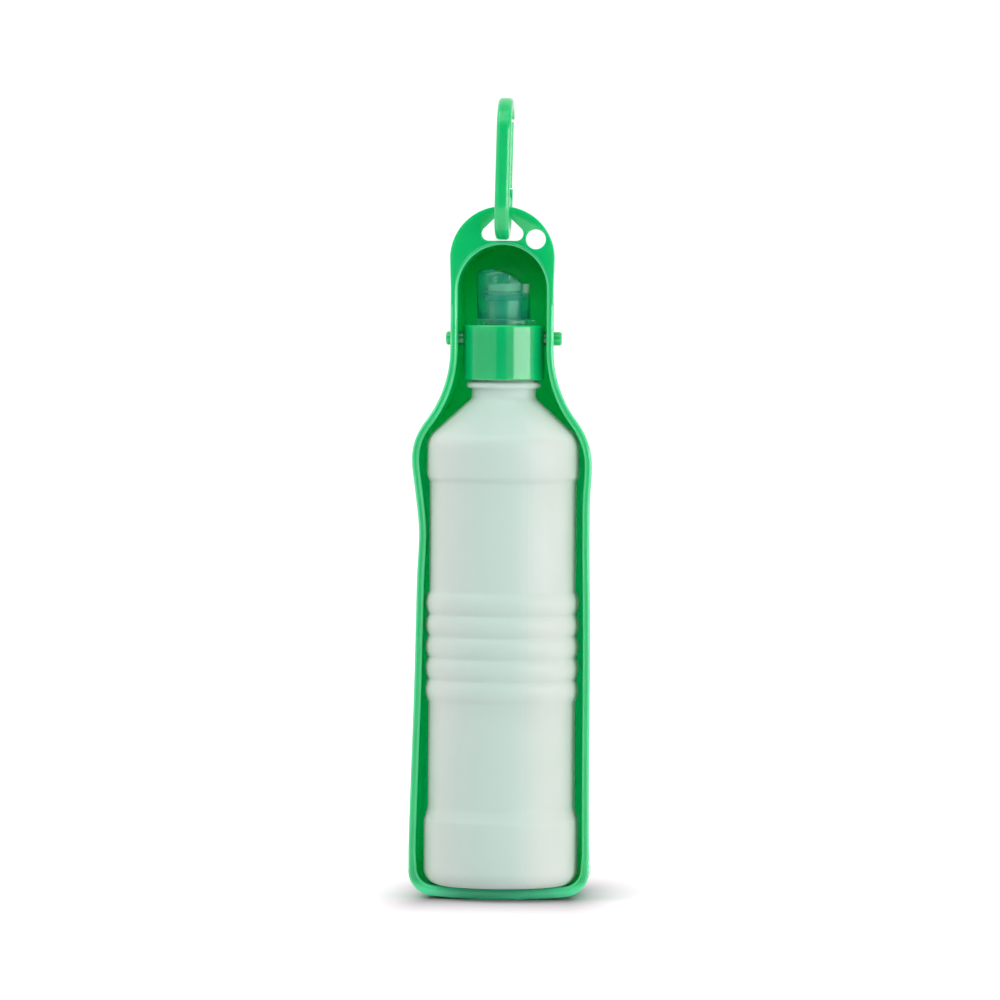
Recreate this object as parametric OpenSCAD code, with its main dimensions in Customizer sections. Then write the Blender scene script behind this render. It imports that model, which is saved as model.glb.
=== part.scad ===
// Travel water bottle for dogs: a squeeze bottle that hangs by its cap in a drinking trough.
// Stands on the trough's foot, +Z up. The open side of the trough faces -Y, its floor lies at +Y.
// The origin is on the flat foot, below the bottle's axis. Millimetres.

/* [Trough] */
// Height from the foot to the top of the hanging tab
tray_h = 270; // [255:1:285]
// Front plane of the rim, in front of the bottle's axis
rim_front = 10; // [8:0.5:12]
// Outside of the trough's floor, behind the bottle's axis
tray_back = 33; // [32.5:0.5:36]
// Thickness of the moulded wall
tray_wall = 1.6; // [1.4:0.1:2]
// How far the rim's bead stands out from the wall
bead_out = 1.25; // [0.8:0.05:1.6]
// Half the width at the foot
foot_half = 35.4; // [34.5:0.1:37]
// Half the width at the waist
waist_half = 33.2; // [32.6:0.1:34]
// Height of the waist
waist_z = 141; // [130:1:145]
// Half the width at the hips
hip_half = 35.4; // [34.5:0.1:37]
// Height of the hips
hip_z = 169; // [166:1:172]
// Half the width of the neck and the tab
neck_half = 20.4; // [20:0.1:21]
// Radius of the outward curve over the hips
hip_r = 28.5; // [26:0.5:31]
// Radius of the inward curve below the neck
neck_r = 46; // [42:1:50]
// Radius of the inner corners at the foot
foot_corner_r = 6.9; // [6.5:0.1:9]
// Height of the centre of the arch over the nozzle
arch_z = 237.6; // [236:0.1:238]
// Thickness of the hanging tab
tab_t = 2; // [1.6:0.1:2.4]
// Radius of the round hole in the tab
tab_hole_r = 3.8; // [3:0.1:3.9]
// Radius of the three corners of the tab's triangular hole
tri_corner_r = 2.7; // [2.4:0.1:2.8]

/* [Pivot] */
// Height of the trunnion axis
pivot_z = 218.5; // [216:0.5:220]
// Radius of the trunnion pins
pin_r = 2.7; // [2.3:0.1:3]
// Running clearance of a pin in the trough's wall
pin_gap = 0.08; // [0.03:0.01:0.1]
// Length over both pins
pin_span = 45.2; // [44:0.2:47]
// How far the cap and the bottle stand to the right in their side play
side_shift = 0.3; // [0:0.1:0.6]

/* [Cap] */
// Outer radius of the cap
cap_r = 15.87; // [15.5:0.01:16.2]
// Bottom of the cap's skirt
cap_bottom = 202.4; // [202:0.1:203]
// Height of the cap's skirt
cap_h = 21.4; // [21:0.1:22]
// Radius of the inside of the skirt
cap_bore_r = 14.2; // [14:0.05:14.5]

/* [Bottle] */
// Height of the bottle's underside above the foot
bottle_z = 5.2; // [4.8:0.1:5.8]
// Radius of the base band
base_band_r = 30.2; // [29:0.1:30.4]
// Radius of the plain walls
body_r = 28.65; // [27.5:0.05:29]
// Radius of the shoulder band
shoulder_r = 29.75; // [29:0.05:30.2]
// Number of grip ribs
ribs = 5; // [3:1:5]
// Bottom of the lowest rib
rib_z = 77.3; // [75:0.1:78]
// Height of one rib
rib_pitch = 8.46; // [7.5:0.02:8.5]
// Radius in the grooves between the ribs
groove_r = 28.85; // [28:0.05:29.2]
// How far a rib stands out of the grooves
rib_out = 1.05; // [0.6:0.05:1.2]
// Radius of the neck
neck_out_r = 12.5; // [12.3:0.05:12.8]
// Wall of the bottle
bottle_wall = 0.9; // [0.7:0.05:1.2]

/* [Nozzle] */
// Outer radius of the nozzle's wall
hood_r = 10.35; // [10:0.05:10.6]
// Wall of the nozzle
hood_wall = 1.15; // [0.9:0.05:1.3]
// Radius of the nozzle's base flange
flange_r = 12.5; // [12:0.1:13]
// Top of the scoop above the cap
hood_h = 21.8; // [20:0.1:22.5]
// How far the nozzle's wall leans to the left, in degrees
hood_lean = 2; // [0:0.5:3]
// Outer radius of the valve stem
stem_r = 6.45; // [6:0.05:6.6]
// Height of the valve stem above the cap
stem_h = 15.6; // [15:0.1:16]

/* [Snap hook] */
// Outer radius of the hook's bends
bend_r = 13; // [12:0.1:13.2]
// Height of the hook
clip_h = 55.2; // [52:0.2:57]
// Thickness of the hook's bar in its own plane
bar_t = 4.6; // [4.2:0.1:4.8]
// Width of the hook's bar, left to right
bar_w = 5.7; // [5.2:0.1:6]
// Radius of the bar's long edges
bar_edge_r = 1.6; // [1:0.1:2]
// Lean of the standing hook to the right, in degrees
clip_lean = 1.2; // [0:0.1:2]

/* [Hidden] */
$fn = 96;

tray_green = [0.09, 0.70, 0.36];
cap_green = [0.07, 0.72, 0.40];
clip_green = [0.11, 0.73, 0.39];
milky = [0.86, 0.91, 0.87, 0.85];
stem_white = [0.80, 0.88, 0.80, 0.8];
clear_plastic = [0.75, 0.90, 0.84, 0.45];
soft_white = [0.92, 0.94, 0.92];
steel_grey = [0.66, 0.68, 0.70];

rim_y = -rim_front;
rim_w = tray_wall + bead_out;
floor_in_y = tray_back - tray_wall;
draft = tan(1);
foot_bow_r = 260;
foot_bow_drop = 0.15;
// Inside half widths, at the rim
foot_in = foot_half - rim_w;
neck_in = neck_half - rim_w - 0.25;
// Floor fillets of the inside: at the foot, along the body, at the neck
fillet_foot = 5.8;
fillet_body = 15;
fillet_neck = 9;

tab_r = neck_half;
tab_z = tray_h - tab_r;
// The plate ends short of the rim's rounded inner edge
lip_gap = 0.7;
tab_hole_x = 13;
tab_hole_z = 257.2;
tri_z = 259.3;
tri_half = 5.4;
tri_rise = 5.3;

cap_top = cap_bottom + cap_h;
cap_roof = 2;
cap_edge_r = 0.7;
stem_flange_t = 1.2;
gasket_t = 1.4;
lip_z = cap_top - cap_roof - stem_flange_t - gasket_t;
deck_z = cap_top + 11.8;
deck_t = 0.9;
seal_r = 0.6;

hook_y = rim_y + tab_t / 2;
hook_z = tri_z - tri_corner_r + 0.3;
hook_low = hook_z + bend_r;
hook_high = hook_z + clip_h - bend_r;
bar_mid = bend_r - bar_t / 2;
gate_pin_z = hook_low + 4.5;
gate_pin_r = 0.9;
nose_z = 303.8;
nose_gap = 0.9;
nose_run = 15;
gate_t = 3.2;
fork_gap = 3.2;

// ---------- outline of the trough ----------

function clamp01(t) = max(0, min(1, t));
function ease(a, b, t) = let (u = clamp01((t - a) / (b - a))) u * u * (3 - 2 * u);
function mix(a, b, u) = a + (b - a) * u;

// The two tangent arcs between the hips and the neck
hip_c = [hip_half - rim_w - (hip_r - rim_w), hip_z];
neck_c_x = neck_in + neck_r + rim_w;
arc_span = hip_r + neck_r;
neck_c = [neck_c_x, hip_z + sqrt(pow(arc_span, 2) - pow(neck_c_x - hip_c.x, 2))];
turn = atan2(neck_c.y - hip_c.y, neck_c.x - hip_c.x);
hip_in_r = hip_r - rim_w;
neck_in_r = neck_r + rim_w;

bow_a = asin((foot_in - foot_corner_r) / foot_bow_r);
bow_x = foot_in - foot_corner_r * (1 - sin(bow_a));
function bow_z(x) = rim_w + x * x / (2 * foot_bow_r) - foot_bow_drop;
corner_c = [foot_in - foot_corner_r, bow_z(bow_x) + foot_corner_r * cos(bow_a)];

// Right half of the inside outline at the rim, from the middle of the foot to the top of the arch
half_outline = concat(
    [for (i = [0:3]) let (x = bow_x * i / 3.3) [x, bow_z(x)]],
    [for (i = [0:6]) let (a = -90 + bow_a + (90 - bow_a) * i / 6) corner_c + foot_corner_r * [cos(a), sin(a)]],
    [for (i = [1:6]) let (u = i / 6) [mix(foot_in, waist_half - rim_w, ease(0, 1, u) * 0.4 + u * 0.6),
                                      mix(corner_c.y, waist_z, u)]],
    [for (i = [1:6]) let (u = i / 7) [mix(waist_half, hip_half, (1 - cos(180 * u)) / 2) - rim_w,
                                      mix(waist_z, hip_z, u)]],
    [for (i = [0:7]) let (a = turn * i / 7) hip_c + hip_in_r * [cos(a), sin(a)]],
    [for (i = [1:7]) let (a = 180 + turn * (1 - i / 7)) neck_c + neck_in_r * [cos(a), sin(a)]],
    [[neck_in, mix(neck_c.y, arch_z, 0.5)]],
    [for (i = [0:9]) let (a = 9.6 * i) [neck_in * cos(a), arch_z + neck_in * sin(a)]]
);
outline = concat(
    half_outline,
    [[0, arch_z + neck_in]],
    [for (i = [len(half_outline) - 1:-1:1]) [-half_outline[i].x, half_outline[i].y]]
);
n_out = len(outline);

function unit(v) = v / norm(v);
function outward(i) =
    let (a = outline[(i + n_out - 1) % n_out], b = outline[(i + 1) % n_out], t = unit(b - a)) [t.y, -t.x];
normals = [for (i = [0:n_out - 1]) outward(i)];

// What changes along the outline, by height
function bead_at(z) = bead_out * ease(3, 16, z) * (1 - ease(arch_z - 2, arch_z + 14, z));
// The foot is as thick through its whole depth as the rim is wide
function wall_at(z) = tray_wall + bead_out * (1 - ease(3, 16, z));
function fillet_at(z) = mix(mix(fillet_foot, fillet_body, ease(10, 45, z)), fillet_neck, ease(168, 214, z));
function outer_draft_at(z) = draft * ease(6, 30, z);

// One ring of the skin: wall share w, bead share b and offset d, at depth y
function ring(w, b, d, y) = [for (i = [0:n_out - 1])
    let (p = outline[i], o = w * wall_at(p.y) + b * bead_at(p.y) + d, q = p + o * normals[i]) [q.x, y, q.y]];
function wall_ring(outside, a) = [for (i = [0:n_out - 1])
    let (p = outline[i],
         w = outside ? wall_at(p.y) : 0,
         r = fillet_at(p.y) + w,
         y = (outside ? tray_back : floor_in_y) - r * (1 - sin(a)),
         slope = outside ? outer_draft_at(p.y) : draft,
         q = p + (w - (y - rim_y) * slope - r * (1 - cos(a))) * normals[i]) [q.x, y, q.y]];

tray_rings = concat(
    [for (a = [90:-18:0]) wall_ring(true, a)],
    [ring(1, 0, -0.07, rim_y + 3.4), ring(1, 0.75, 0, rim_y + 2.6), ring(1, 1, 0, rim_y + 1.7),
     ring(1, 1, 0, rim_y + 1), ring(1, 1, -0.3, rim_y + 0.3), ring(1, 1, -0.8, rim_y),
     ring(0, 0, 0.6, rim_y), ring(0, 0, 0.22, rim_y + 0.25), ring(0, 0, 0.03, rim_y + 0.8),
     ring(0, 0, -0.03, rim_y + 1.6)],
    [for (a = [0:18:90]) wall_ring(false, a)]
);

// Closed skin through rings of equal length
module skin(rings) {
    n = len(rings[0]);
    m = len(rings);
    faces = concat(
        [[for (i = [0:n - 1]) i]],
        [for (j = [0:m - 2], i = [0:n - 1], t = [0, 1])
            let (k = (i + 1) % n, a = j * n + i, b = j * n + k, c = a + n, d = b + n)
            t == 0 ? [a, c, b] : [b, c, d]],
        [[for (i = [n - 1:-1:0]) (m - 1) * n + i]]
    );
    polyhedron([for (r = rings, p = r) p], faces, convexity = 10);
}

// ---------- trough ----------

// The tab's front view, drawn in x and z
module tab_outline() {
    difference() {
        union() {
            translate([0, tab_z]) circle(tab_r);
            // Below, the plate narrows into the rim
            polygon([[-tab_r, tab_z], [tab_r, tab_z], [tab_r - 0.6, arch_z - 6], [0.6 - tab_r, arch_z - 6]]);
        }
        translate([0, arch_z]) circle(neck_in + lip_gap);
        translate([-neck_in - lip_gap, arch_z - 8]) square([2 * (neck_in + lip_gap), 8]);
        translate([tab_hole_x, tab_hole_z]) circle(tab_hole_r);
        triangle_hole();
    }
}

module triangle_hole() {
    k = tri_corner_r * sin(45);
    for (x = [-tri_half, tri_half]) translate([x, tri_z]) circle(tri_corner_r);
    translate([0, tri_z + tri_rise]) circle(tri_corner_r);
    polygon([[-tri_half, tri_z - tri_corner_r], [tri_half, tri_z - tri_corner_r], [tri_half + k, tri_z + k],
             [k, tri_z + tri_rise + k], [-k, tri_z + tri_rise + k], [-tri_half - k, tri_z + k]]);
}

module tray() {
    color(tray_green) difference() {
        union() {
            skin(tray_rings);
            translate([0, rim_y + tab_t, 0]) rotate([90, 0, 0]) linear_extrude(tab_t) tab_outline();
        }
        translate([-30, 0, pivot_z]) rotate([0, 90, 0]) cylinder(h = 60, r = pin_r + pin_gap);
        translate([-60, -60, -10]) cube([120, 120, 10]);
    }
}

// ---------- bottle ----------

function arc(c, r, a0, a1, n) = [for (i = [0:n]) let (a = a0 + (a1 - a0) * i / n) c + r * [cos(a), sin(a)]];

base_corner_r = 6.5;
band_top = 31.2;
wall_low = 35.8;
rib_top = rib_z + ribs * rib_pitch;
step_z = 163.3;
cone_a = 48.2;
cone_foot = 195.2;
shoulder_bend_r = 8.5;
ring_z = 200.4;
ring_r = 14.55;
ring_half = 1.3;
// The cone leaves the neck and meets the shoulder's bend
bend_end = [shoulder_r - shoulder_bend_r * (1 - cos(90 - cone_a)), 0];
cone_low = cone_foot - (bend_end.x - neck_out_r) / tan(cone_a);
bend_c = [shoulder_r - shoulder_bend_r, cone_low - shoulder_bend_r * sin(90 - cone_a)];

// A rib is an arc over its pitch
rib_arc_r = (pow(rib_pitch / 2, 2) + pow(rib_out, 2)) / (2 * rib_out);
rib_arc_a = asin(rib_pitch / 2 / rib_arc_r);
function rib(z) = arc([groove_r + rib_out - rib_arc_r, z + rib_pitch / 2], rib_arc_r, -rib_arc_a, rib_arc_a, 8);

bottle_skin = concat(
    [[0, bottle_z + 3], [15, bottle_z + 1.2]],
    [[18.5, bottle_z + 0.15]],
    arc([base_band_r - base_corner_r, bottle_z + base_corner_r], base_corner_r, -90, 0, 10),
    [[base_band_r, band_top], [body_r + 0.15, wall_low - 0.6], [body_r, wall_low], [body_r, rib_z]],
    [for (k = [0:ribs - 1]) each rib(rib_z + k * rib_pitch)],
    [[body_r, rib_top + 0.4], [body_r, step_z - 0.6], [body_r + 0.3, step_z],
     [shoulder_r - 0.25, step_z + 1.1], [shoulder_r, step_z + 2]],
    arc(bend_c, shoulder_bend_r, 0, 90 - cone_a, 8),
    [[neck_out_r + 0.5, cone_foot - 0.45], [neck_out_r, cone_foot + 0.3], [neck_out_r, ring_z - ring_half]],
    arc([ring_r - ring_half, ring_z], ring_half, -90, 90, 8),
    [[neck_out_r, ring_z + ring_half], [neck_out_r, lip_z - 0.3], [neck_out_r - 0.3, lip_z]]
);

// The inside follows the walls, smooth behind the ring of the neck
lumen_neck_r = neck_out_r - bottle_wall - 0.4;
lumen = concat(
    [[0, bottle_z + 3 + bottle_wall], [15, bottle_z + 1.2 + bottle_wall], [18.5, bottle_z + 0.15 + bottle_wall]],
    arc([base_band_r - base_corner_r, bottle_z + base_corner_r], base_corner_r - bottle_wall, -90, 0, 8),
    [[base_band_r - bottle_wall, band_top], [body_r - bottle_wall, wall_low], [body_r - bottle_wall, rib_z]],
    [for (k = [0:ribs - 1]) each [for (p = rib(rib_z + k * rib_pitch)) [p.x - bottle_wall, p.y]]],
    [[body_r - bottle_wall, rib_top + 0.4], [body_r - bottle_wall, step_z], [shoulder_r - bottle_wall, step_z + 2]],
    arc(bend_c, shoulder_bend_r - bottle_wall, 0, 90 - cone_a, 8),
    [[lumen_neck_r, cone_foot - 0.6], [lumen_neck_r, lip_z]]
);

module bottle() {
    color(milky) translate([side_shift, 0, 0]) rotate_extrude($fn = 128)
        polygon(concat(bottle_skin, [for (i = [len(lumen) - 1:-1:0]) lumen[i]]));
}

// ---------- cap and seals ----------

module cap() {
    color(cap_green) translate([side_shift, 0, 0]) {
        rotate_extrude($fn = 128) polygon(concat(
            [[stem_r + 0.15, cap_top - cap_roof], [cap_bore_r, cap_top - cap_roof], [cap_bore_r, cap_bottom + 0.6],
             [cap_bore_r + 0.5, cap_bottom]],
            arc([cap_r - 0.5, cap_bottom + 0.5], 0.5, -90, 0, 4),
            arc([cap_r - cap_edge_r, cap_top - cap_edge_r], cap_edge_r, 0, 90, 5),
            [[stem_r + 0.15, cap_top]]
        ));
        for (s = [-1, 1]) translate([s * (cap_r - 0.8), 0, pivot_z]) rotate([0, s * 90, 0])
            rotate_extrude($fn = 64) polygon([[0, 0], [pin_r, 0], [pin_r, pin_span / 2 - cap_r + 0.2],
                                              [pin_r - 0.6, pin_span / 2 - cap_r + 0.8],
                                              [0, pin_span / 2 - cap_r + 0.8]]);
    }
}

module valve_stem() {
    foot = cap_top - cap_roof - stem_flange_t;
    color(stem_white) translate([side_shift, 0, 0]) rotate_extrude() polygon([
        [4.7, foot], [cap_bore_r - 0.4, foot], [cap_bore_r - 0.4, foot + stem_flange_t],
        [stem_r, foot + stem_flange_t], [stem_r, cap_top + stem_h - 0.5], [stem_r - 0.5, cap_top + stem_h],
        [2.4, cap_top + stem_h], [2.4, cap_top + stem_h - 1.2], [4.7, cap_top + stem_h - 1.6]]);
}

module stem_seal() {
    color(soft_white) translate([side_shift, 0, deck_z - 1.2]) rotate_extrude()
        translate([stem_r + seal_r, 0]) circle(seal_r, $fn = 24);
}

module neck_gasket() {
    color(soft_white) translate([side_shift, 0, lip_z]) difference() {
        cylinder(h = gasket_t, r = cap_bore_r - 0.3);
        translate([0, 0, -1]) cylinder(h = gasket_t + 2, r = 8);
    }
}

// ---------- nozzle ----------

deck_hole_r = stem_r + 0.08;
collar_r = stem_r + 2 * seal_r + 0.1;
scoop_r = 3;
scoop_low = 15.9;
scoop_edge_x = -1.8;
// The leaning wall starts inside the flange
hood_foot = 0.6;
flange_t = 1.9;

// Wall of the nozzle with the rounded head of the scoop, before it is cut open
module hood_body(r, low, h, round_r) {
    rotate_extrude() polygon(concat([[0, low], [r, low]], arc([r - round_r, h - round_r], round_r, 0, 90, 8), [[0, h]]));
}

module hood_wall_cut() {
    difference() {
        hood_body(hood_r, hood_foot, hood_h, scoop_r);
        hood_body(hood_r - hood_wall, 0, hood_h - hood_wall, scoop_r - hood_wall);
        // The scoop stands at the left and the back: its edge falls to the right
        translate([-1.5, -30, hood_h - 0.4]) rotate([0, 29.6, 0]) cube([40, 60, 20]);
        // The front right quarter is open above the stem
        translate([scoop_edge_x, -30, scoop_low]) cube([40, 30, 20]);
        // The head is open in the middle
        translate([0, 0, hood_h - scoop_r]) cylinder(h = 10, r = hood_r - scoop_r);
    }
}

module nozzle() {
    color(clear_plastic) translate([side_shift, 0, cap_top + 0.1]) difference() {
        union() {
            cylinder(h = flange_t, r = flange_r);
            rotate([0, -hood_lean, 0]) hood_wall_cut();
            // The deck that turns round the stem, and the collar round its seal
            translate([0, 0, deck_z - cap_top - 0.1]) cylinder(h = deck_t, r = hood_r - 0.8);
            translate([0, 0, deck_z - cap_top - 2.6]) cylinder(h = 2.6, r = collar_r + 0.8);
            // The stop rib at the right of the scoop
            translate([hood_r - 2.9, -1.4, deck_z - cap_top]) cube([2.4, 2.8, 3.9]);
        }
        translate([0, 0, -1]) cylinder(h = 3, r = stem_r + 0.4);
        translate([0, 0, 1]) cylinder(h = 40, r = deck_hole_r);
        translate([0, 0, 8]) cylinder(h = deck_z - cap_top - 8.1, r = collar_r);
    }
}

// ---------- snap hook ----------

// Section of the bar, x across and y in the hook's plane
module bar_section(w = bar_w, t = bar_t, r = bar_edge_r) {
    square([w - 2 * r, t], center = true);
    square([w, t - 2 * r], center = true);
    for (x = [-1, 1], y = [-1, 1]) translate([x * (w / 2 - r), y * (t / 2 - r)]) circle(r, $fn = 32);
}

// A bend of the bar in the YZ plane, from angle a0 over span a, seen from +X
module bend(a0, a) {
    rotate([0, 90, 0]) rotate([0, 0, 90]) rotate([0, 0, a0])
        rotate_extrude(angle = a) translate([bar_mid, 0]) rotate(90) bar_section();
}

module in_hook() {
    translate([0, hook_y, hook_z]) rotate([0, clip_lean, 0]) translate([0, -hook_y, -hook_z]) children();
}

module clip_body() {
    color(clip_green) in_hook() difference() {
        union() {
            translate([0, hook_y, hook_low]) bend(180, 180);
            translate([0, hook_y, hook_high]) bend(180, nose_run - 180);
            translate([0, hook_y - bar_mid, hook_low]) linear_extrude(hook_high - hook_low) bar_section();
            translate([0, hook_y + bar_mid, hook_low]) linear_extrude(gate_pin_z - hook_low) bar_section();
            translate([0, hook_y + bar_mid, gate_pin_z]) rotate([0, 90, 0])
                cylinder(h = bar_w, r = bar_t / 2, center = true);
        }
        // The nose ends level above the gate's tip
        translate([-5, hook_y + 5, hook_high]) cube([10, 10, nose_z - hook_high]);
        // The fork that holds the gate's foot, and the bore for its pin
        translate([-fork_gap / 2, hook_y + bar_mid - 5, gate_pin_z - 3]) cube([fork_gap, 10, 10]);
        translate([-5, hook_y + bar_mid, gate_pin_z]) rotate([0, 90, 0]) cylinder(h = 10, r = gate_pin_r, $fn = 32);
    }
}

module clip_gate() {
    root = gate_pin_z + bar_t / 2 + 0.4;
    color(clip_green) in_hook() translate([0, hook_y + bar_mid, 0]) difference() {
        union() {
            translate([0, 0, root]) linear_extrude(nose_z - nose_gap - root) bar_section(5, gate_t, 1.2);
            translate([-fork_gap / 2 + 0.15, -gate_t / 2, gate_pin_z])
                cube([fork_gap - 0.3, gate_t, root - gate_pin_z + 1]);
            translate([0, 0, gate_pin_z]) rotate([0, 90, 0])
                cylinder(h = fork_gap - 0.3, r = gate_t / 2 + 0.3, center = true);
        }
        translate([-5, 0, gate_pin_z]) rotate([0, 90, 0]) cylinder(h = 10, r = gate_pin_r + 0.06, $fn = 32);
    }
}

module gate_pin() {
    color(steel_grey) in_hook() translate([-bar_w / 2 + 0.2, hook_y + bar_mid, gate_pin_z]) rotate([0, 90, 0])
        cylinder(h = bar_w - 0.4, r = gate_pin_r, $fn = 32);
}

tray();
bottle();
cap();
nozzle();
valve_stem();
stem_seal();
neck_gasket();
clip_body();
clip_gate();
gate_pin();
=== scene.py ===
import math
import bpy
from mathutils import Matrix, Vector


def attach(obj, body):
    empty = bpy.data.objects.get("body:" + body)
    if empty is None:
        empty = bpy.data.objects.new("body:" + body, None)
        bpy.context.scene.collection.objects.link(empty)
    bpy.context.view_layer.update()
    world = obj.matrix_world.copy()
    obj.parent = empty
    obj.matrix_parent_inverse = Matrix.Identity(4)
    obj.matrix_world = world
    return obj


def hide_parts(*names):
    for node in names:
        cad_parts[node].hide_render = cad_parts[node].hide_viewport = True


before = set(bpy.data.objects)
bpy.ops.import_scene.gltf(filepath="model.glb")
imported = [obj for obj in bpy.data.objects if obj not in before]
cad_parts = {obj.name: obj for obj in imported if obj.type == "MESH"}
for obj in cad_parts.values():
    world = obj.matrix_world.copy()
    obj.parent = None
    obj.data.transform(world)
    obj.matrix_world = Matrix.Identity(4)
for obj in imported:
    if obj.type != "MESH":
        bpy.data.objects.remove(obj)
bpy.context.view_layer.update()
scene = bpy.context.scene
scene.view_settings.view_transform = "Standard"
MM = 0.001

# ---------------------------------------------------------------------------
# Camera. The photograph is taken from about 3 m with a long lens, from a
# little to the right of the trough's open side, at the height of its tab.
# ---------------------------------------------------------------------------
eye_distance = 3.0
eye_turn = math.radians(3.4)
eye_height = 0.250
aim = (-0.0004, -0.008, 0.1557)
roll = math.radians(0.38)
sensor, view_width = 36, 0.390

lens_data = bpy.data.cameras.new("camera")
lens_data.sensor_width = sensor
lens_data.lens = sensor * eye_distance / view_width
lens_data.clip_end = 60
camera = bpy.data.objects.new("camera", lens_data)
scene.collection.objects.link(camera)
camera.location = (eye_distance * math.sin(eye_turn), -eye_distance * math.cos(eye_turn), eye_height)
bpy.context.view_layer.update()
look = Vector(aim) - camera.location
turned = look.to_track_quat("-Z", "Y").to_matrix().to_4x4()
camera.rotation_euler = (turned @ Matrix.Rotation(roll, 4, "Z")).to_euler()
scene.camera = camera


# ---------------------------------------------------------------------------
# Trough. Injection-moulded green polypropylene: one open U of thin wall
# whose section follows the outline, with a rounded bead along the rim, a flat
# tab over the arched head and a bore in each cheek for the cap's pins.
# ---------------------------------------------------------------------------
class Finish:
    """A value in a material's nodes; sums and products add their own nodes."""

    def __init__(self, tree, socket=None):
        self.tree, self.socket = tree, socket

    def node(self, kind, setup=None, sockets=None, out=0):
        made = self.tree.nodes.new("ShaderNode" + kind)
        for key, value in (setup or {}).items():
            setattr(made, key, value)
        for key, value in (sockets or {}).items():
            if isinstance(value, Finish):
                self.tree.links.new(value.socket, made.inputs[key])
            elif isinstance(value, tuple) and len(value) == 3 and made.inputs[key].type == "RGBA":
                made.inputs[key].default_value = (*value, 1)
            else:
                made.inputs[key].default_value = value
        return Finish(self.tree, made.outputs[out])

    def math(self, operation, *values):
        return self.node("Math", {"operation": operation}, dict(enumerate(values)))

    def __add__(self, other):
        return self.math("ADD", self, other)

    def __sub__(self, other):
        return self.math("SUBTRACT", self, other)

    def __mul__(self, other):
        return self.math("MULTIPLY", self, other)

    def __rsub__(self, other):
        return self.math("SUBTRACT", other, self)

    __radd__ = __add__

    def axis(self, k):
        """One part of a vector: 0 across, 1 in depth, 2 up."""
        return self.node("SeparateXYZ", {}, {"Vector": self}, out=k)

    def noise(self, scale, detail):
        return self.node("TexNoise", {}, {"Vector": self, "Scale": scale, "Detail": detail})

    def bump(self, strength, distance):
        """Takes the value as a height, and gives the normal that it makes."""
        return self.node("Bump", {}, {"Strength": strength, "Distance": distance, "Height": self})

    def step(self, low, high):
        """0 below low and 1 above high, smooth between."""
        return self.node("MapRange", {"interpolation_type": "SMOOTHSTEP"},
                         {"Value": self, "From Min": low, "From Max": high})

    def blend(self, a, b):
        """Colour a where this is 0, colour b where it is 1."""
        return self.node("Mix", {"data_type": "RGBA"}, {0: self, 6: a, 7: b}, out=2)


def new_material(name):
    made = bpy.data.materials.new(name)
    made.use_nodes = True
    made.node_tree.nodes.clear()
    return made, Finish(made.node_tree)


def surface(made, shader):
    output = made.node_tree.nodes.new("ShaderNodeOutputMaterial")
    made.node_tree.links.new(shader.socket, output.inputs["Surface"])
    return made


def moulded_green(name, deep, clear, gloss, rimmed=False):
    """Dyed polypropylene: light goes into the wall, clouds in the colour, a fine orange peel."""
    made, tone = new_material(name)
    place = tone.node("TexCoord", out=3)
    clouds, peel, flow = place.noise(35.0, 3.0), place.noise(900.0, 2.0), place.noise(120.0, 4.0)
    colour = clouds.step(0.35, 0.7).blend(deep, clear)
    if rimmed:
        # Painted light and shade inside the trough: the walls behind the rim are painted lighter, a little
        # less in the neck, and the head's roof is painted darker
        foot_top, neck_top = 0.012, 0.215
        across, depth, height = (place.axis(k) for k in range(3))
        normal = tone.node("TexCoord", out=1)
        facing = normal.axis(1)
        # Outward is sideways along the walls, up in the head's arch and down at the foot
        past_end = tone.math("MAXIMUM", height - neck_top, 0.0) + tone.math("MINIMUM", height - foot_top, 0.0)
        outward = tone.node("CombineXYZ", {}, {"X": across, "Z": past_end})
        outward = tone.node("VectorMath", {"operation": "DOT_PRODUCT"}, {0: outward, 1: normal}, out=1)
        inside = tone.math("MAXIMUM", 1 - outward.step(-0.003, 0.0), 1 - facing.step(-0.7, -0.3))
        behind = inside * depth.step(-0.008, 0.006)
        # The lighter inside colours are painted light, the dark roof colour is painted shade
        body_painted_light, neck_painted_light, roof_painted_shade = (0.001, 0.78, 0.40), (0.0005, 0.62, 0.26), (0.0005, 0.32, 0.070)
        colour = behind.blend(colour, height.step(0.160, 0.195).blend(body_painted_light, neck_painted_light))
        colour = (behind * height.step(0.228, 0.250)).blend(colour, roof_painted_shade)
        # Painted light: the rim's round lip and the thick foot are painted paler and brighter, standing in
        # for light that runs inside the wall and comes out there
        painted_lip_light = (1 - tone.math("ABSOLUTE", facing).step(0.80, 0.98)) * (1 - depth.step(-0.0090, -0.0080))
        colour = (painted_lip_light * 0.9).blend(colour, (0.10, 0.72, 0.34))
        colour = (1 - height.step(0.003, 0.008)).blend(colour, (0.10, 0.98, 0.42))
    return surface(made, tone.node("BsdfPrincipled", {}, {
        "Base Color": colour, "Roughness": gloss + flow * 0.08,
        "Normal": (peel + flow * 2.0).bump(0.05, 0.0002), "IOR": 1.46, "Coat Weight": 0.4,
        "Coat Roughness": 0.15, "Subsurface Weight": 0.8,
        "Subsurface Radius": (0.4, 1.0, 0.6), "Subsurface Scale": 0.008}))


def begin(name, shape, **options):
    """Adds one primitive with nothing else selected, its place and size in its mesh."""
    if bpy.context.mode != "OBJECT":
        bpy.ops.object.mode_set(mode="OBJECT")
    bpy.ops.object.select_all(action="DESELECT")
    getattr(bpy.ops.mesh, "primitive_" + shape + "_add")(**options)
    made = bpy.context.object
    made.name = made.data.name = name
    bpy.ops.object.transform_apply(location=True, rotation=True, scale=True)
    return made


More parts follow.
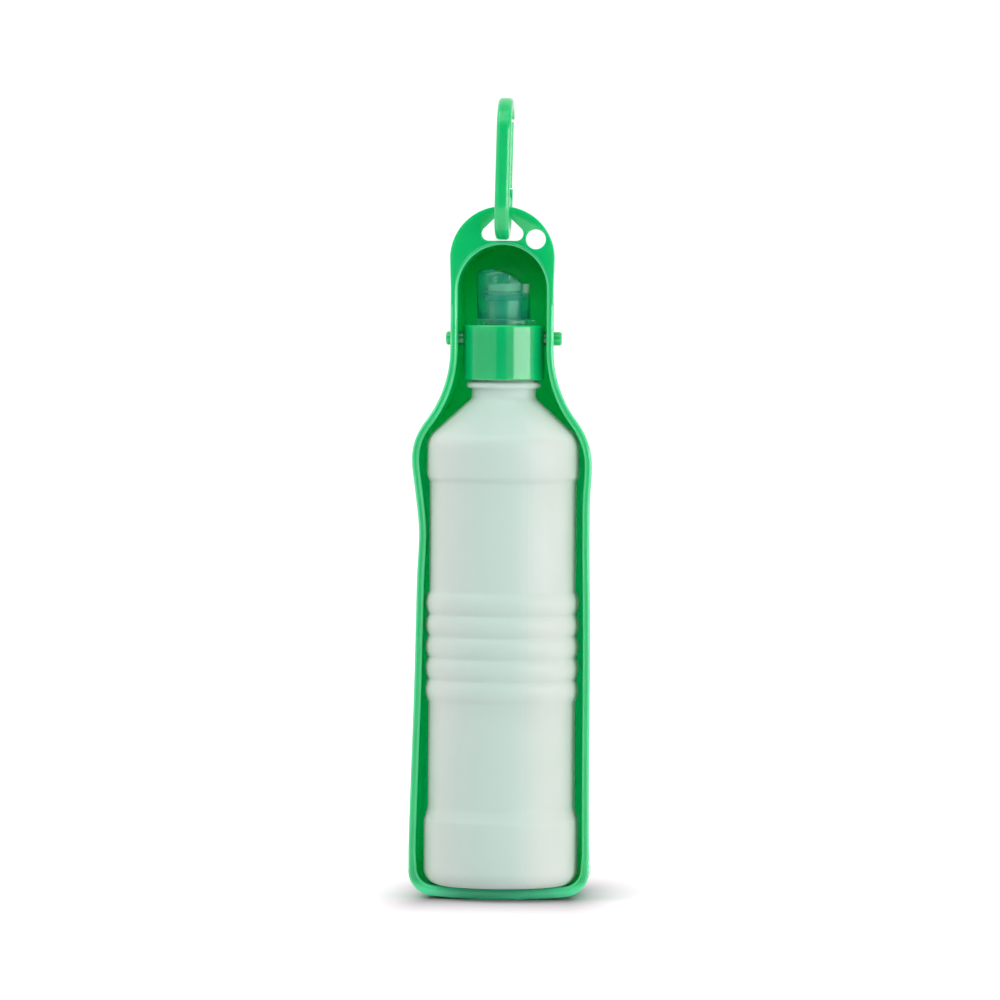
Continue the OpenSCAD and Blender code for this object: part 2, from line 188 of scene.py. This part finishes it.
def edit(made):
    """Opens a piece for editing, with all of it selected."""
    if bpy.context.mode != "OBJECT":
        bpy.ops.object.mode_set(mode="OBJECT")
    bpy.ops.object.select_all(action="DESELECT")
    made.select_set(True)
    bpy.context.view_layer.objects.active = made
    bpy.ops.object.mode_set(mode="EDIT")
    bpy.ops.mesh.select_all(action="SELECT")


def pick(test):
    """In edit mode, selects the vertices whose place passes the test."""
    bpy.ops.mesh.select_mode(type="VERT")
    bpy.ops.mesh.select_all(action="DESELECT")
    bpy.ops.object.mode_set(mode="OBJECT")
    for v in bpy.context.object.data.vertices:
        v.select = test(v.co)
    bpy.ops.object.mode_set(mode="EDIT")


def move(x=0, z=0):
    bpy.ops.transform.translate(value=(x * MM, 0, z * MM))


def pull(z):
    bpy.ops.mesh.extrude_region_move(TRANSFORM_OT_translate={"value": (0, 0, z * MM)})


def finish_piece(made, smooth=35):
    """Closes the edit, applies place and modifiers, and shades by angle."""
    if bpy.context.mode != "OBJECT":
        bpy.ops.object.mode_set(mode="OBJECT")
    bpy.ops.object.select_all(action="DESELECT")
    made.select_set(True)
    bpy.context.view_layer.objects.active = made
    bpy.ops.object.transform_apply(location=True, rotation=True, scale=True)
    for modifier in list(made.modifiers):
        bpy.ops.object.modifier_apply(modifier=modifier.name)
    bpy.ops.object.shade_smooth_by_angle(angle=math.radians(smooth))
    return made


def cut(made, tool, operation="DIFFERENCE"):
    """Cuts or joins with another solid, which is used up."""
    if bpy.context.mode != "OBJECT":
        bpy.ops.object.mode_set(mode="OBJECT")
    bpy.context.view_layer.objects.active = made
    modifier = made.modifiers.new("cut", "BOOLEAN")
    modifier.operation, modifier.solver, modifier.object = operation, "EXACT", tool
    bpy.ops.object.modifier_apply(modifier=modifier.name)
    bpy.data.objects.remove(tool)


rim_y, back_y, wall = -10.0, 33.0, 1.6
foot_half, waist_half, waist_z = 35.4, 33.2, 141.0
hip_half, hip_z, hip_r = 35.4, 169.0, 28.5
neck_half, neck_r, arch_z = 20.4, 46.0, 237.6
bead = 1.25
rim_w = wall + bead
foot_t = 4.1
neck_in = neck_half - rim_w - 0.25
foot_corner, foot_bow_r, foot_dip = 6.9, 260, 0.15
pin_bore_r, pin_z = 2.78, 218.5
lean = math.tan(math.radians(1.0))


def soft_step(a, b, t):
    u = max(0.0, min(1.0, (t - a) / (b - a)))
    return u * u * (3 - 2 * u)


def above_foot(z):
    """0 in the foot's thick band and 1 above it."""
    return soft_step(4, 17, z)


def foot_line(x):
    """The foot's inside bows down in its middle."""
    return foot_t + x ** 2 / (2 * foot_bow_r) - foot_dip


def fillet(z):
    low = 5.8 + (15 - 5.8) * soft_step(10, 45, z)
    return low + (9 - low) * soft_step(168, 214, z)


def section(z):
    """The wall's section at a height: distance out of the inside rim line, and depth."""
    # The bead stands out from a thin wall; the foot is thicker through its whole depth
    b = bead * above_foot(z) * (1 - soft_step(arch_z - 2, arch_z + 14, z))
    w = foot_t + (wall - foot_t) * above_foot(z)
    points = []
    inner, outer = fillet(z), fillet(z) + w
    for k in range(13):
        a = math.radians(90 - 7.5 * k)
        y = back_y - wall - inner * (1 - math.sin(a))
        points.append((-(y - rim_y) * lean - inner * (1 - math.cos(a)), y))
    points.append((-0.05, rim_y + 3.2))
    lip_y, round_in, round_out = rim_y + 0.02, min(0.48 * (w + b), 1.4), 0.46 * (w + b)
    for k in range(7):
        a = math.radians(15 * k)
        points.append((round_in * (1 - math.cos(a)), lip_y + 1.5 * (1 - math.sin(a))))
    for k in range(7):
        a = math.radians(90 - 15 * k)
        points.append((w + b - round_out * (1 - math.cos(a)), lip_y + 1.3 * (1 - math.sin(a))))
    points += [(w + b - 0.04, rim_y + 1.85), (w + b * 0.85 - 0.05, rim_y + 2.3),
               (w + b * 0.35, rim_y + 2.65), (w - 0.02, rim_y + 3.1), (w - 0.07, rim_y + 4.0)]
    slope = lean * soft_step(6, 30, z)
    for k in range(12, -1, -1):
        a = math.radians(90 - 7.5 * k)
        y = back_y - outer * (1 - math.sin(a))
        points.append((w - (y - rim_y) * slope - outer * (1 - math.cos(a)), y))
    return points


def half_outline():
    """Right half of the inside rim line, from the middle of the foot to the top of the arch."""
    corner = foot_corner
    corner_t = foot_t + (rim_w - foot_t) * above_foot(foot_t + corner)
    foot_in = foot_half - corner_t
    bow_a = math.asin((foot_in - corner) / foot_bow_r)
    bow_x = foot_in - corner * (1 - math.sin(bow_a))
    corner_z = foot_line(bow_x) + corner * math.cos(bow_a)
    line = [(bow_x * k / 12, foot_line(bow_x * k / 12)) for k in range(12)]
    for k in range(13):
        a = -math.pi / 2 + bow_a + (math.pi / 2 - bow_a) * k / 12
        line.append((foot_in - corner + corner * math.cos(a), corner_z + corner * math.sin(a)))
    for k in range(1, 21):
        u = k / 20
        z = corner_z + (waist_z - corner_z) * u
        rim = foot_t + (rim_w - foot_t) * above_foot(z)
        line.append((foot_half - rim + (waist_half - foot_half) * (0.4 * soft_step(0, 1, u) + 0.6 * u), z))
    for k in range(1, 12):
        u = k / 12
        line.append((waist_half + (hip_half - waist_half) * (1 - math.cos(math.pi * u)) / 2 - rim_w,
                     waist_z + (hip_z - waist_z) * u))
    hip_x, neck_x = hip_half - hip_r, neck_in + neck_r + rim_w
    rise = math.sqrt((hip_r + neck_r) ** 2 - (neck_x - hip_x) ** 2)
    turn = math.atan2(rise, neck_x - hip_x)
    for k in range(13):
        a = turn * k / 12
        line.append((hip_x + (hip_r - rim_w) * math.cos(a), hip_z + (hip_r - rim_w) * math.sin(a)))
    for k in range(1, 15):
        a = math.pi + turn * (1 - k / 14)
        line.append((neck_x + (neck_r + rim_w) * math.cos(a),
                     hip_z + rise + (neck_r + rim_w) * math.sin(a)))
    for k in range(1, 5):
        line.append((neck_in, hip_z + rise + (arch_z - hip_z - rise) * k / 5))
    for k in range(17):
        a = math.pi / 2 * k / 16
        line.append((neck_in * math.cos(a), arch_z + neck_in * math.sin(a)))
    return line


def sway(x, z):
    """The thin walls bend a little to the right at the waist, more on the right than on the left."""
    if x > 0:
        return x + 1.45 * soft_step(20, 120, z) * (1 - soft_step(142, 162, z))
    return x + (0.75 * soft_step(10, 90, z) + 0.6 * soft_step(122, 142, z)) * (1 - soft_step(158, 180, z))


right = half_outline()
loop = [(sway(x, z), z) for x, z in right + [(-x, z) for x, z in right[-2:0:-1]]]
points, count = [], len(loop)
for i, (x, z) in enumerate(loop):
    ax, az = loop[i - 1]
    bx, bz = loop[(i + 1) % count]
    run = math.hypot(bx - ax, bz - az)
    out_x, out_z = (bz - az) / run, -(bx - ax) / run
    points += [((x + d * out_x) * MM, y * MM, (z + d * out_z) * MM) for d, y in section(z)]
width = len(points) // count
faces = [(i * width + j, i * width + j + 1, (i + 1) % count * width + j + 1, (i + 1) % count * width + j)
         for i in range(count) for j in range(width - 1)]
faces.append([i * width for i in range(count)])
faces.append([i * width + width - 1 for i in reversed(range(count))])
skin = bpy.data.meshes.new("trough")
skin.from_pydata(points, [], faces)
trough = bpy.data.objects.new("trough", skin)
scene.collection.objects.link(trough)
edit(trough)
bpy.ops.mesh.normals_make_consistent(inside=False)
# The foot is flat where it stands
bpy.ops.mesh.bisect(plane_co=(0, 0, 0), plane_no=(0, 0, 1), clear_inner=True, use_fill=True,
                    threshold=0.001 * MM)

# The tab: a plate with a round head, cut out over the arch, with two holes
tab_top, tab_t = 270.0, 2.0
tab_z = tab_top - neck_half
hole_x, hole_z, hole_r = 13.0, 257.2, 3.8
slot_r, through = 2.7, 20
upright = (math.pi / 2, 0, 0)


def rod(radius, length, x=0, y=0, z=0, turn=(0, 0, 0), vertices=64):
    return begin("rod", "cylinder", vertices=vertices, radius=radius * MM, depth=length * MM,
                 location=(x * MM, y * MM, z * MM), rotation=turn)


def block(x, y, z, wide, deep, high):
    return begin("block", "cube", size=1, location=(x * MM, y * MM, z * MM),
                 scale=(wide * MM, deep * MM, high * MM))


plate = rod(neck_half, tab_t, 0, rim_y + tab_t / 2, tab_z, upright, 128)
edit(plate)
pick(lambda p: p.z < (tab_z - 0.1) * MM)
move(z=-(tab_z - arch_z + 6))
# Below, the plate narrows into the rim
bpy.ops.transform.resize(value=((neck_half - 0.6) / neck_half, 1, 1), center_override=(0, 0, 0))
cut(plate, rod(hole_r, through, hole_x, rim_y, hole_z, upright))
# The triangular hole: three slots between its three round corners
slot_ends = [(-5.4, 259.3), (5.4, 259.3), (0.0, 264.6)]
for k in range(3):
    (ax, az), (bx, bz) = slot_ends[k], slot_ends[(k + 1) % 3]
    slot = rod(slot_r, through, 0, 0, 0, upright)
    edit(slot)
    pick(lambda p: p.x > 0.01 * MM)
    move(x=math.hypot(bx - ax, bz - az))
    bpy.ops.object.mode_set(mode="OBJECT")
    slot.rotation_euler = (0, -math.atan2(bz - az, bx - ax), 0)
    slot.location = (ax * MM, rim_y * MM, az * MM)
    bpy.ops.object.transform_apply(location=True, rotation=True, scale=True)
    cut(plate, slot)
cut(plate, block(0, rim_y, 260.6, 5, through, 3))
edit(plate)
bpy.ops.mesh.remove_doubles(threshold=0.00002)
bpy.ops.mesh.dissolve_limited(angle_limit=math.radians(0.5))
bpy.ops.object.mode_set(mode="OBJECT")
edge = plate.modifiers.new("edge", "BEVEL")
edge.width, edge.segments, edge.limit_method, edge.angle_limit = 0.35 * MM, 3, "ANGLE", math.radians(50)
bpy.ops.object.modifier_apply(modifier=edge.name)
# Below, the plate runs into the rim's flat and ends inside it
sunk = 1.35
cut(plate, rod(neck_in + sunk, through, 0, rim_y, arch_z, upright, 128))
cut(plate, block(0, rim_y, arch_z - 20, 2 * (neck_in + sunk), through, 40))
cut(plate, block(0, rim_y, arch_z - 26, 60, through, 40))

cut(trough, plate, "UNION")
# The bores for the cap's pins
cut(trough, rod(pin_bore_r, 60, 0, 0, pin_z, (0, math.pi / 2, 0)))
finish_piece(trough)
trough_green = moulded_green("trough_green", (0.001, 0.47, 0.160), (0.002, 0.51, 0.175), 0.18, True)
trough.data.materials.append(trough_green)
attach(trough, "trough")
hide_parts("tray")

# ---------------------------------------------------------------------------
# Flask. Blow-moulded milky polyethylene with a shoulder band, five grip ribs
# and a stepped base band. The mould leaves a parting line down both sides, the
# underside is pushed up, and the neck carries a ring.
# ---------------------------------------------------------------------------
shift = 0.3
base_z, base_r, body_r, shoulder_r = 5.2, 30.2, 28.65, 29.75
corner_r, neck_tube_r = 6.5, 12.5
mould_turn = math.radians(23)


def arc(cx, cz, r, start, stop, steps):
    return [(cz + r * math.sin(math.radians(start + (stop - start) * k / steps)),
             cx + r * math.cos(math.radians(start + (stop - start) * k / steps))) for k in range(steps + 1)]


profile = arc(base_r - corner_r, base_z + corner_r, corner_r, -84, 0, 14)
profile += [(20, base_r), (30.2, base_r), (31.1, base_r - 0.08), (31.6, base_r - 0.35),
            (33, base_r - 0.75), (34.6, body_r + 0.3), (35.6, body_r + 0.06), (36.6, body_r),
            (50, body_r), (64, body_r), (76.6, body_r)]
groove_r, rib_out, pitch, rib_z = 28.85, 1.05, 8.46, 77.3
round_r = ((pitch / 2) ** 2 + rib_out ** 2) / (2 * rib_out)
reach = 0.94 * math.degrees(math.asin(pitch / 2 / round_r))
for k in range(5):
    profile += arc(groove_r + rib_out - round_r, rib_z + (k + 0.5) * pitch, round_r, -reach, reach, 10)
top = rib_z + 5 * pitch
profile += [(top + 0.5, body_r), (top + 1.4, body_r), (135, body_r), (150, body_r), (162.2, body_r),
            (162.9, body_r + 0.06), (163.5, body_r + 0.35), (164.3, shoulder_r - 0.3),
            (165, shoulder_r - 0.06), (165.8, shoulder_r)]
bend, cone, cone_top = 8.5, math.radians(48.2), 195.2
bend_end = math.pi / 2 - cone
bend_in = bend * (1 - math.cos(bend_end))
cone_low = cone_top - (shoulder_r - bend_in - neck_tube_r) / math.tan(cone)
profile += arc(shoulder_r - bend, cone_low - bend * math.sin(bend_end), bend, 0, math.degrees(bend_end), 12)
profile += [(cone_top - 7.2, neck_tube_r + 7.2 * math.tan(cone)), (194.3, 13.5), (194.9, 12.92),
            (195.7, 12.56), (196.6, neck_tube_r), (198.95, neck_tube_r), (199.1, 12.62)]
ring_r, ring_z, ring_half = 14.55, 200.4, 1.25
profile += arc(ring_r - ring_half, ring_z, ring_half, -86, 86, 10)
profile += [(201.75, 12.62), (201.9, neck_tube_r), (210, neck_tube_r), (218.7, neck_tube_r),
            (219.0, 12.4), (219.15, 12.1)]


def raise_rings(profile):
    """Carries the selected ring up a profile of heights and radii, round the cap's axis."""
    (here_z, here_r), rest = profile[0], profile[1:]
    for z, r in rest:
        pull(z - here_z)
        bpy.ops.transform.resize(value=(r / here_r, r / here_r, 1), center_override=(shift * MM, 0, 0))
        here_z, here_r = z, r


flask = begin("flask", "circle", vertices=160, radius=profile[0][1] * MM, fill_type="NGON",
              location=(shift * MM, 0, profile[0][0] * MM))
edit(flask)
# The underside is pushed up, so that it stands on a ring
for inward, up in ((1.6, 0.02), (2.4, 0.4), (3.0, 0.8), (6.0, 1.0), (6.0, 0.5)):
    bpy.ops.mesh.inset(thickness=inward * MM, depth=up * MM)
pick(lambda p: math.hypot(p.x - shift * MM, p.y) > (profile[0][1] - 0.05) * MM)
raise_rings(profile)
bpy.ops.mesh.select_all(action="SELECT")
bpy.ops.mesh.normals_make_consistent(inside=False)
bpy.ops.object.mode_set(mode="OBJECT")
shell = flask.modifiers.new("shell", "SOLIDIFY")
shell.thickness, shell.offset = 0.9 * MM, -1
finish_piece(flask, 40)


def milky(name):
    """Translucent polyethylene: a clouded wall, a parting line, a soft sheen, and painted shade down its
    middle.
    """
    made, tone = new_material(name)
    place = tone.node("TexCoord", out=3)
    clouds, grain = place.noise(26.0, 4.0), place.noise(700.0, 2.0)
    turned = tone.node("Mapping", {"vector_type": "TEXTURE"},
                       {"Vector": place, "Location": (shift * MM, 0, 0), "Rotation": (0, 0, mould_turn)})
    line = 1 - tone.math("ABSOLUTE", turned.axis(0)).step(0.0001, 0.0005)
    across = place.axis(0)
    # Painted shade: the flask's middle is painted a darker teal than its sides
    middle = across.step(-0.030, -0.004) * (1 - across.step(0.004, 0.022))
    colour = clouds.step(0.3, 0.75).blend((0.70, 0.83, 0.72), (0.78, 0.88, 0.79))
    colour = (middle * 0.8).blend(colour, (0.57, 0.80, 0.70))
    colour = (line * 0.15).blend(colour, (0.62, 0.80, 0.70))
    return surface(made, tone.node("BsdfPrincipled", {}, {
        "Base Color": colour, "Roughness": clouds * 0.04 + 0.28,
        "Normal": (line + grain * 0.1 + clouds * 0.1).bump(0.1, 0.0003), "IOR": 1.42,
        "Specular IOR Level": 0.3, "Subsurface Weight": 0.5, "Subsurface Radius": (1.0, 1.0, 1.0),
        "Subsurface Scale": 0.003, "Sheen Weight": 0.5, "Sheen Roughness": 0.35}))


flask.data.materials.append(milky("milky_bottle"))
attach(flask, "bottle")
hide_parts("bottle")

# ---------------------------------------------------------------------------
# Cap and snap hook. Both are the solids as moulded, in glossy green.
# ---------------------------------------------------------------------------
def carried(node, material):
    """A solid of the model that shows as it is, with a finish of its own."""
    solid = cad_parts[node]
    for held in solid.material_slots:
        held.material = material


carried("cap", moulded_green("cap_green", (0.002, 0.53, 0.160), (0.003, 0.57, 0.175), 0.08))
hook_green = moulded_green("hook_green", (0.003, 0.53, 0.175), (0.005, 0.57, 0.195), 0.20)
carried("clip_body", hook_green)
carried("clip_gate", hook_green)

# ---------------------------------------------------------------------------
# Nozzle, valve stem and seals. Clear styrene turns on a milky stem; a soft
# ring seals it, and a soft washer seals the flask's lip.
# ---------------------------------------------------------------------------
deck_z = 235.6
foot_z = 223.9
wall_r, head_r, head_h, nozzle_lean = 10.35, 3.0, 21.8, 2
scoop_r, scoop_x, scoop_z = 20, -6.95, 1.56
flange_r, flange_t, bore_r, seat_r = 12.4, 1.9, 6.53, 7.7


def ease_edges(made, width, angle=35):
    """Rounds the sharp edges a little, as a mould leaves them, and marks them as lit_edge, where painted edge
    light goes.
    """
    edit(made)
    bpy.ops.mesh.remove_doubles(threshold=0.00002)
    bpy.ops.mesh.dissolve_limited(angle_limit=math.radians(0.5))
    bpy.ops.object.mode_set(mode="OBJECT")
    for _ in range(2):
        made.data.materials.append(None)
    edge = made.modifiers.new("edge", "BEVEL")
    edge.width, edge.segments, edge.material = width * MM, 2, 1
    edge.limit_method, edge.angle_limit = "ANGLE", math.radians(angle)
    bpy.ops.object.modifier_apply(modifier=edge.name)
    lit = made.data.attributes.new("lit_edge", "FLOAT", "FACE")
    lit.data.foreach_set("value", [float(face.material_index) for face in made.data.polygons])
    made.data.polygons.foreach_set("material_index", [0] * len(made.data.polygons))
    made.data.materials.clear()


# The wall with its rounded head leans to the left, and the scoop's edge falls to the right
wall_line = [(foot_z + 0.8, wall_r), (foot_z + 10, wall_r)]
wall_line += arc(wall_r - head_r, foot_z + head_h - head_r, head_r, 0, 84, 8)
nozzle = begin("nozzle", "circle", vertices=96, radius=wall_r * MM, fill_type="NOTHING",
               location=(shift * MM, 0, wall_line[0][0] * MM))
edit(nozzle)
raise_rings(wall_line)
bpy.ops.mesh.select_all(action="SELECT")
bpy.ops.mesh.normals_make_consistent(inside=False)
bpy.ops.transform.rotate(value=math.radians(nozzle_lean), orient_axis="Y",
                         center_override=(shift * MM, 0, foot_z * MM))
bpy.ops.object.mode_set(mode="OBJECT")
thick = nozzle.modifiers.new("thick", "SOLIDIFY")
thick.thickness, thick.offset = 1.0 * MM, -1
bpy.ops.object.modifier_apply(modifier=thick.name)
keep = rod(scoop_r, 40, shift + scoop_x, 0, foot_z + scoop_z, upright, 160)
cut(keep, block(shift + 9, 0, foot_z + 7.4, 7, 30, 17), "UNION")
cut(nozzle, keep, "INTERSECT")
cut(nozzle, rod(flange_r, flange_t, shift, 0, foot_z + flange_t / 2, vertices=96), "UNION")
cut(nozzle, rod(wall_r - 0.6, 0.9, shift, 0, deck_z + 0.45, vertices=96), "UNION")
cut(nozzle, rod(8.3, 2.6, shift, 0, deck_z - 1.3, vertices=96), "UNION")
cut(nozzle, block(shift + 8.6, 0, deck_z + 1.95, 2.2, 2.8, 3.9), "UNION")
cut(nozzle, rod(bore_r, 40, shift, 0, foot_z + 10, vertices=96))
cut(nozzle, rod(seat_r, 4, shift, 0, deck_z - 1.9, vertices=96))
ease_edges(nozzle, 0.22)
finish_piece(nozzle)


def clear_plastic(name):
    """Clear styrene with a cold green cast and painted light along its edges; the thick stop at the right of
    the scoop has a haze and is painted paler.
    """
    made, tone = new_material(name)
    place = tone.node("TexCoord", out=3)
    flow = place.noise(160.0, 3.0)
    haze = place.axis(0).step(0.0072, 0.0088) * place.axis(2).step(0.2345, 0.2375)
    clear = flow.blend((0.50, 0.93, 0.76), (0.58, 0.96, 0.82))
    bump = flow.bump(0.1, 0.0002)
    glass = tone.node("BsdfPrincipled", {}, {
        "Base Color": haze.blend(clear, (0.85, 1.0, 0.86)), "Roughness": flow * 0.08 + 0.05 + haze * 0.3,
        "Normal": bump, "IOR": 1.36, "Transmission Weight": 1.0})
    # A faint cold haze in the wall. Painted light: its edges and the stop are painted paler and more opaque,
    # standing in for light that runs inside the wall and comes out there
    lit = tone.node("Attribute", {"attribute_name": "lit_edge"}, out=2)
    haze_with_painted_edges = tone.node("BsdfPrincipled", {}, {
        "Base Color": tone.math("MAXIMUM", lit, haze).blend((0.03, 0.60, 0.46), (0.66, 0.95, 0.78)),
        "Roughness": 0.15, "Normal": bump, "IOR": 1.36})
    haze_and_painted_edge_weight = lit * 0.6 + haze * 0.3 + 0.14
    return surface(made, tone.node("MixShader", {}, {0: haze_and_painted_edge_weight, 1: glass, 2: haze_with_painted_edges}))


def soft_white(name, colour, rough):
    made, tone = new_material(name)
    flow = tone.node("TexCoord", out=3).noise(300.0, 3.0)
    return surface(made, tone.node("BsdfPrincipled", {}, {
        "Base Color": flow.blend(colour, tuple(0.92 * c for c in colour)), "Roughness": flow * 0.1 + rough,
        "Normal": flow.bump(0.15, 0.0001), "Subsurface Weight": 0.2, "Subsurface Scale": 0.001}))


def frosted(name):
    """Natural polyethylene: light goes through it and comes out scattered."""
    made, tone = new_material(name)
    place = tone.node("TexCoord", out=3)
    flow, across, height = place.noise(140.0, 3.0), place.axis(0), place.axis(2)
    # Painted highlights: the tube's wall, seen end-on in two upright bands, is painted pale, the right band
    # more strongly; its top is cloudy
    left = 1 - tone.math("ABSOLUTE", across + 0.0042).step(0.0004, 0.0020)
    right = 1 - tone.math("ABSOLUTE", across - 0.0038).step(0.0008, 0.0026)
    pale_bands_and_cloudy_top = tone.math("MAXIMUM", left * 0.5 + right, height.step(0.2330, 0.2362))
    clear = flow.blend((0.04, 0.58, 0.32), (0.10, 0.64, 0.38))
    return surface(made, tone.node("BsdfPrincipled", {}, {
        "Base Color": pale_bands_and_cloudy_top.blend(clear, (0.95, 0.95, 0.78)), "Roughness": flow * 0.15 + 0.35,
        "Normal": flow.bump(0.15, 0.0002), "IOR": 1.5, "Transmission Weight": 0.25}))


def drawn_wire(name):
    made, tone = new_material(name)
    place = tone.node("TexCoord", out=3)
    long = tone.node("Mapping", {}, {"Vector": place, "Scale": (40.0, 2500.0, 2500.0)})
    draw = long.noise(1.0, 3.0)
    return surface(made, tone.node("BsdfPrincipled", {}, {
        "Base Color": draw.blend((0.42, 0.43, 0.45), (0.60, 0.61, 0.62)), "Roughness": draw * 0.2 + 0.22,
        "Normal": draw.bump(0.1, 0.00005), "Metallic": 1.0}))


nozzle.data.materials.append(clear_plastic("clear_nozzle"))
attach(nozzle, "nozzle")
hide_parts("nozzle")
carried("valve_stem", frosted("frosted_stem"))
carried("stem_seal", soft_white("silicone_seal", (0.75, 0.78, 0.75), 0.45))
carried("neck_gasket", soft_white("gasket_white", (0.78, 0.80, 0.76), 0.5))
carried("gate_pin", drawn_wire("drawn_pin"))

# ---------------------------------------------------------------------------
# Floor, backdrop and studio light. A low wide light from the right, a softer
# one from high on the left and a faint one from above.
# ---------------------------------------------------------------------------
def seen_white(tone):
    """1 where the camera sees it straight, in a gloss or through a clear wall, else 0."""
    camera_ray, glossy_ray, through_ray = (tone.node("LightPath", out=k) for k in (0, 3, 6))
    return tone.math("MAXIMUM", tone.math("MAXIMUM", camera_ray, glossy_ray), through_ray)


bpy.ops.object.select_all(action="DESELECT")
bpy.ops.mesh.primitive_plane_add(size=30, location=(0, 0, 0))
ground = bpy.context.object
ground.name = "ground"
paper, tone = new_material("paper")
# Its glow fades near the foot and its white turns grey, where the shadow lies
spot = tone.node("TexCoord", out=3)
x, y = spot.axis(0), spot.axis(1)
beside = tone.math("MAXIMUM", tone.math("ABSOLUTE", x) - 0.027, 0) * 2.0
before = tone.math("MAXIMUM", tone.math("ABSOLUTE", y - 0.012) - 0.022, 0) * 0.55
away = tone.math("SQRT", beside * beside + before * before)
shade = tone.math("EXPONENT", away * -30.0)
grey = (shade * tone.node("LightPath", out=0)).blend((0.80, 0.74, 0.78), (0.38, 0.345, 0.37))
sheet_of_paper = tone.node("BsdfDiffuse", {}, {"Color": grey})
lift = tone.node("Emission", {}, {"Color": shade.blend((0.60, 0.60, 0.60), (0.0, 0.0, 0.0)),
                                  "Strength": seen_white(tone)})
surface(paper, tone.node("AddShader", {}, {0: sheet_of_paper, 1: lift}))
ground.data.materials.append(paper)

bpy.ops.mesh.primitive_plane_add(size=30, location=(0, 4, 5), rotation=(math.pi / 2, 0, 0))
backdrop = bpy.context.object
backdrop.name = "backdrop"
wall_white, tone = new_material("wall_white")
glow = seen_white(tone) * 0.2 + 0.9
surface(wall_white, tone.node("Emission", {}, {"Color": (1.0, 1.0, 1.0), "Strength": glow}))
backdrop.data.materials.append(wall_white)

# A black card behind the camera keeps its reflection out of the flat faces
bpy.ops.mesh.primitive_plane_add(size=1, location=(-0.275, -3.4, 0.8), rotation=(math.pi / 2, 0, 0))
card = bpy.context.object
card.name = "black_card"
card.scale = (1.75, 2.4, 1)
card_black, tone = new_material("card_black")
surface(card_black, tone.node("BsdfDiffuse", {}, {"Color": (0.01, 0.01, 0.01)}))
card.data.materials.append(card_black)

world = bpy.data.worlds.new("studio")
scene.world = world
world.use_nodes = True
world.node_tree.nodes["Background"].inputs["Color"].default_value = (1, 1, 1, 1)
world.node_tree.nodes["Background"].inputs["Strength"].default_value = 0.53


def softbox(name, azimuth, distance, height, wide, high, radiance):
    """A flat light that faces the flask; azimuth 0 is the open side and 90 the right."""
    data = bpy.data.lights.new(name, "AREA")
    data.shape, data.size, data.size_y = "RECTANGLE", wide, high
    data.energy = radiance * math.pi * wide * high
    made = bpy.data.objects.new(name, data)
    scene.collection.objects.link(made)
    a = math.radians(azimuth)
    made.location = (distance * math.sin(a), -distance * math.cos(a), height)
    made.rotation_euler = (Vector((0, 0, 0.16)) - made.location).to_track_quat("-Z", "Y").to_euler()


softbox("key", azimuth=57, distance=1.6, height=0.30, wide=1.55, high=0.42, radiance=5.0)
softbox("fill", azimuth=-60, distance=1.5, height=1.6, wide=1.4, high=1.4, radiance=2.3)
softbox("top", azimuth=0, distance=1.2, height=2.0, wide=1.6, high=1.4, radiance=1.0)
